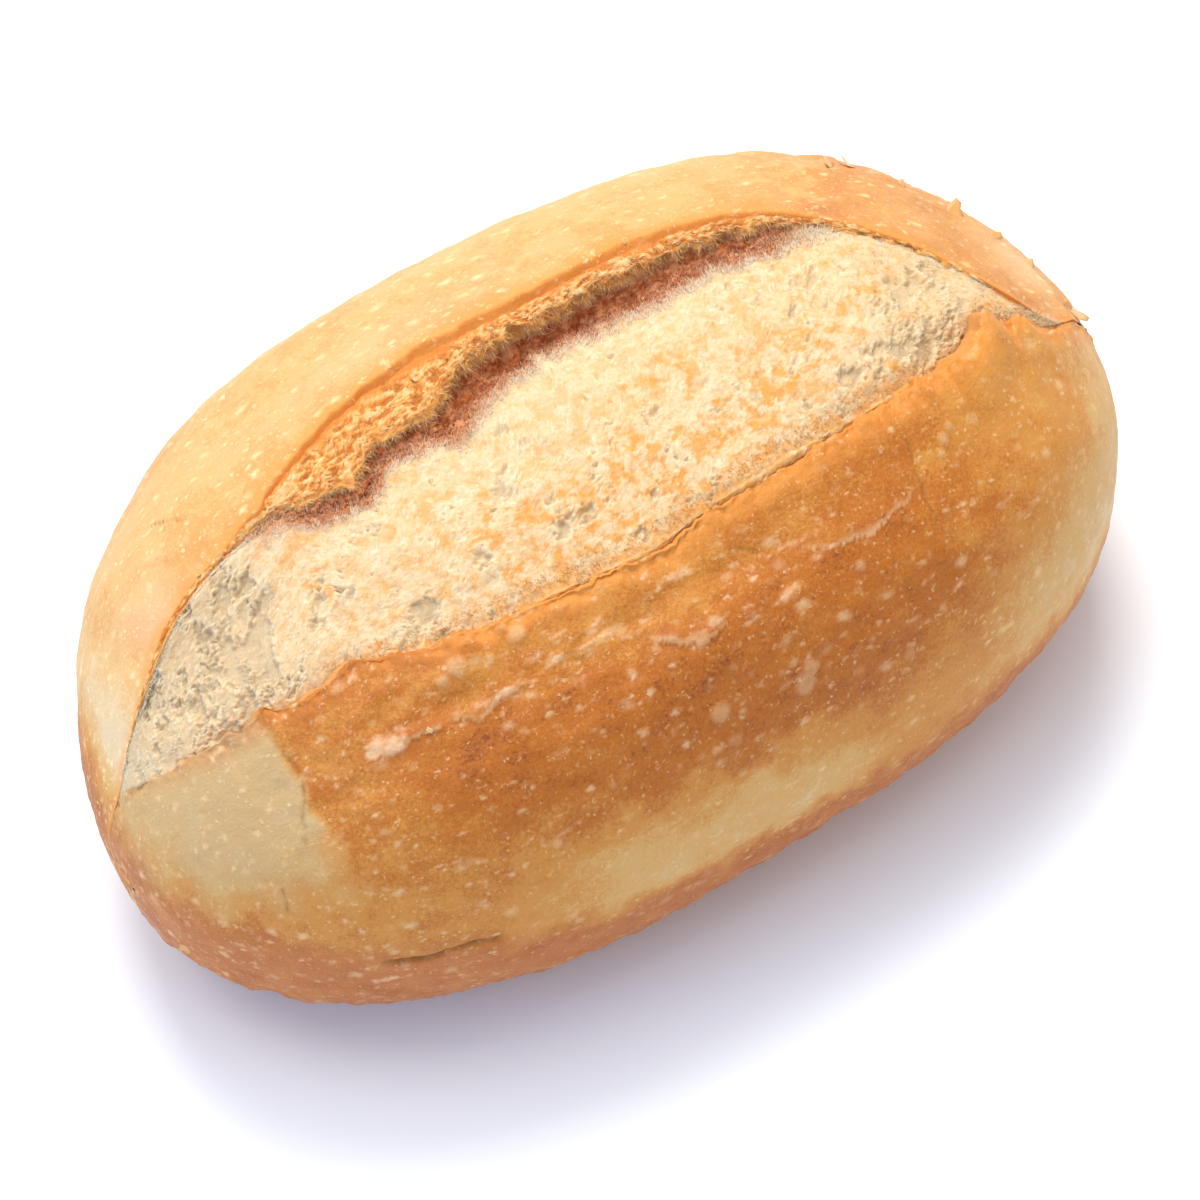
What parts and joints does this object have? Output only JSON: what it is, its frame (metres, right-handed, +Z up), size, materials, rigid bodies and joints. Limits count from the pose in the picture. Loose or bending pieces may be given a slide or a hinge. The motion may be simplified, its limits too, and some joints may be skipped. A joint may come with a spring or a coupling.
{
  "type": "bread roll",
  "caption": "Crusty oval bread roll, burst open along one lengthwise slash over pale torn crumb, with a flat underside to rest on.",
  "frame": {"origin": "under the middle of the roll, on the surface it rests on", "axes": "+X along the roll, towards the end where the near crust edge has its pointed flap; +Y towards the side with the torn lip; +Z up from the flat underside"},
  "size_m": [0.12, 0.0746, 0.0501],
  "materials": {
    "crust": "baked crust, golden brown with paler blisters, matt with a faint satin sheen",
    "crumb": "torn open crumb, cream with toasted golden patches, matt"
  },
  "bodies": {
    "root": {"bread_roll": "crust"}
  },
  "joints": []
}
